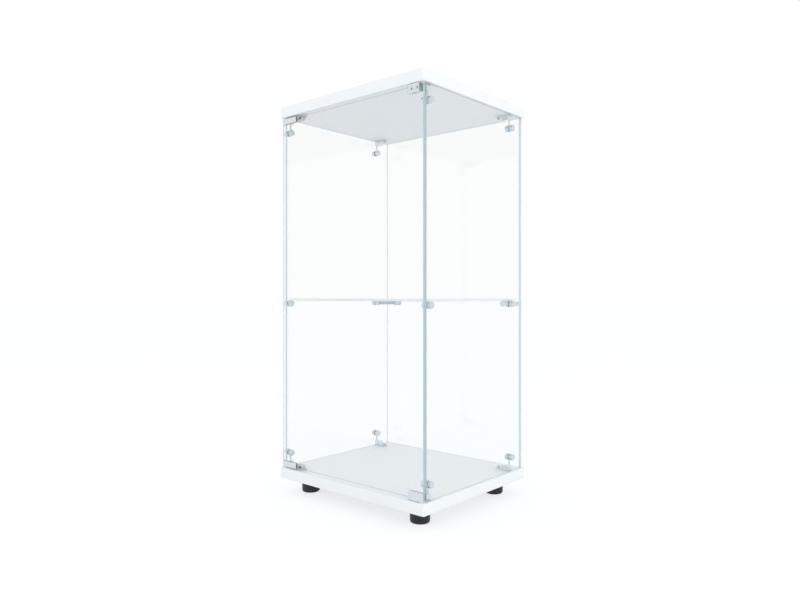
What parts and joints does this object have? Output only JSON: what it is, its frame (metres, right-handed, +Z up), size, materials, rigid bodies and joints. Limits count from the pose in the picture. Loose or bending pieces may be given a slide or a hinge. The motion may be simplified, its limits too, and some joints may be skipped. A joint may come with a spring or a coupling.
{
  "type": "glass display cabinet",
  "caption": "Free-standing glass display cabinet: white boards on round feet, clamped clear panes, a glass shelf and a pivoting glass door held by magnetic catches.",
  "frame": {"origin": "on the floor, under the middle of the cabinet", "axes": "+Z up; the door faces -Y; +X to the right of someone who faces the door, where it is hinged"},
  "size_m": [0.431, 0.365, 0.88],
  "materials": {
    "white_melamine": "melamine-faced chipboard, satin white with matching edging",
    "clear_glass": "clear float glass with ground edges that look grey-green",
    "chrome_fittings": "bright chrome on zinc castings",
    "plated_strikes": "folded steel with a dull nickel plate",
    "steel_fixings": "zinc-plated steel",
    "black_plastic": "black moulded plastic, slightly grained",
    "grey_plastic": "grey moulded plastic",
    "white_nylon": "natural white nylon",
    "clear_vinyl": "soft clear vinyl",
    "magnet": "dark ferrite, dull",
    "black_rubber": "black rubber, dull"
  },
  "bodies": {
    "cabinet": {"back_outer_caps": "chrome_fittings", "back_panel": "clear_glass", "bottom_board": "white_melamine", "bracket_screws": "steel_fixings", "catch_bumpers": "black_rubber", "catch_magnets": "magnet", "catch_screws": "steel_fixings", "clamp_bolts": "steel_fixings", "clamp_washers": "clear_vinyl", "foot_front_left": "black_plastic", "foot_front_right": "black_plastic", "foot_rear_left": "black_plastic", "foot_rear_right": "black_plastic", "foot_screws": "steel_fixings", "left_corner_strip": "chrome_fittings", "left_outer_caps": "chrome_fittings", "left_side_panel": "clear_glass", "lower_catch": "grey_plastic", "lower_front_left_bracket": "chrome_fittings", "lower_front_left_clamp": "chrome_fittings", "lower_front_right_bracket": "chrome_fittings", "lower_front_right_clamp": "chrome_fittings", "lower_pivot_bush": "white_nylon", "lower_rear_left_bracket": "chrome_fittings", "lower_rear_left_clamp": "chrome_fittings", "lower_rear_right_bracket": "chrome_fittings", "lower_rear_right_clamp": "chrome_fittings", "right_corner_strip": "chrome_fittings", "right_outer_caps": "chrome_fittings", "right_side_panel": "clear_glass", "shelf": "clear_glass", "shelf_clamp_back_left": "chrome_fittings", "shelf_clamp_back_right": "chrome_fittings", "shelf_clamp_front_left": "chrome_fittings", "shelf_clamp_front_right": "chrome_fittings", "shelf_clamp_rear_left": "chrome_fittings", "shelf_clamp_rear_right": "chrome_fittings", "shelf_pads": "clear_vinyl", "top_board": "white_melamine", "upper_catch": "grey_plastic", "upper_front_left_bracket": "chrome_fittings", "upper_front_left_clamp": "chrome_fittings", "upper_front_right_bracket": "chrome_fittings", "upper_front_right_clamp": "chrome_fittings", "upper_pivot_bush": "white_nylon", "upper_rear_left_bracket": "chrome_fittings", "upper_rear_left_clamp": "chrome_fittings", "upper_rear_right_bracket": "chrome_fittings", "upper_rear_right_clamp": "chrome_fittings"},
    "door": {"door_panel": "clear_glass", "lower_hinge_clip": "chrome_fittings", "upper_hinge_clip": "chrome_fittings", "lower_hinge_lining": "clear_vinyl", "upper_hinge_lining": "clear_vinyl", "lower_pivot_pin": "steel_fixings", "upper_pivot_pin": "steel_fixings", "hinge_set_screws": "steel_fixings", "lower_strike_clip": "plated_strikes", "upper_strike_clip": "plated_strikes"}
  },
  "joints": [
    {"name": "door_swing", "type": "hinge", "parent": "cabinet", "child": "door", "pos_m": [0.203, -0.175, 0.456], "axis": [0, 0, 1], "range_deg": [0, 110]}
  ]
}
